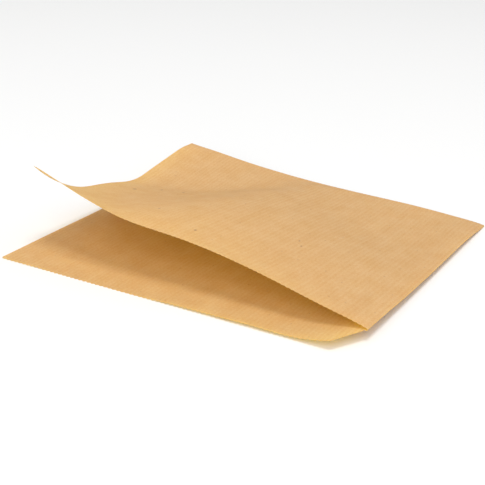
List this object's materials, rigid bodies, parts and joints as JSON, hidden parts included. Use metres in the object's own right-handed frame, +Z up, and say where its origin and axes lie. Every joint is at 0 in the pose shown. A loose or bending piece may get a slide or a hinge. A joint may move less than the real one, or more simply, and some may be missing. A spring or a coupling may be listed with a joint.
{
  "type": "flat paper bag",
  "caption": "Flat kraft paper snack bag open along its front and left edges, lying with its upper ply lifted.",
  "frame": {"origin": "centre of the bag's bounding box, at the height of the table that it lies on", "axes": "+X along the front mouth towards the folded edge, +Y from the front mouth towards the closed back edge, +Z up"},
  "size_m": [0.1705, 0.1604, 0.0382],
  "materials": {
    "kraft_paper": "matt ribbed kraft with a faint glaze"
  },
  "bodies": {
    "root": {"paper_bag": "kraft_paper"}
  },
  "joints": []
}
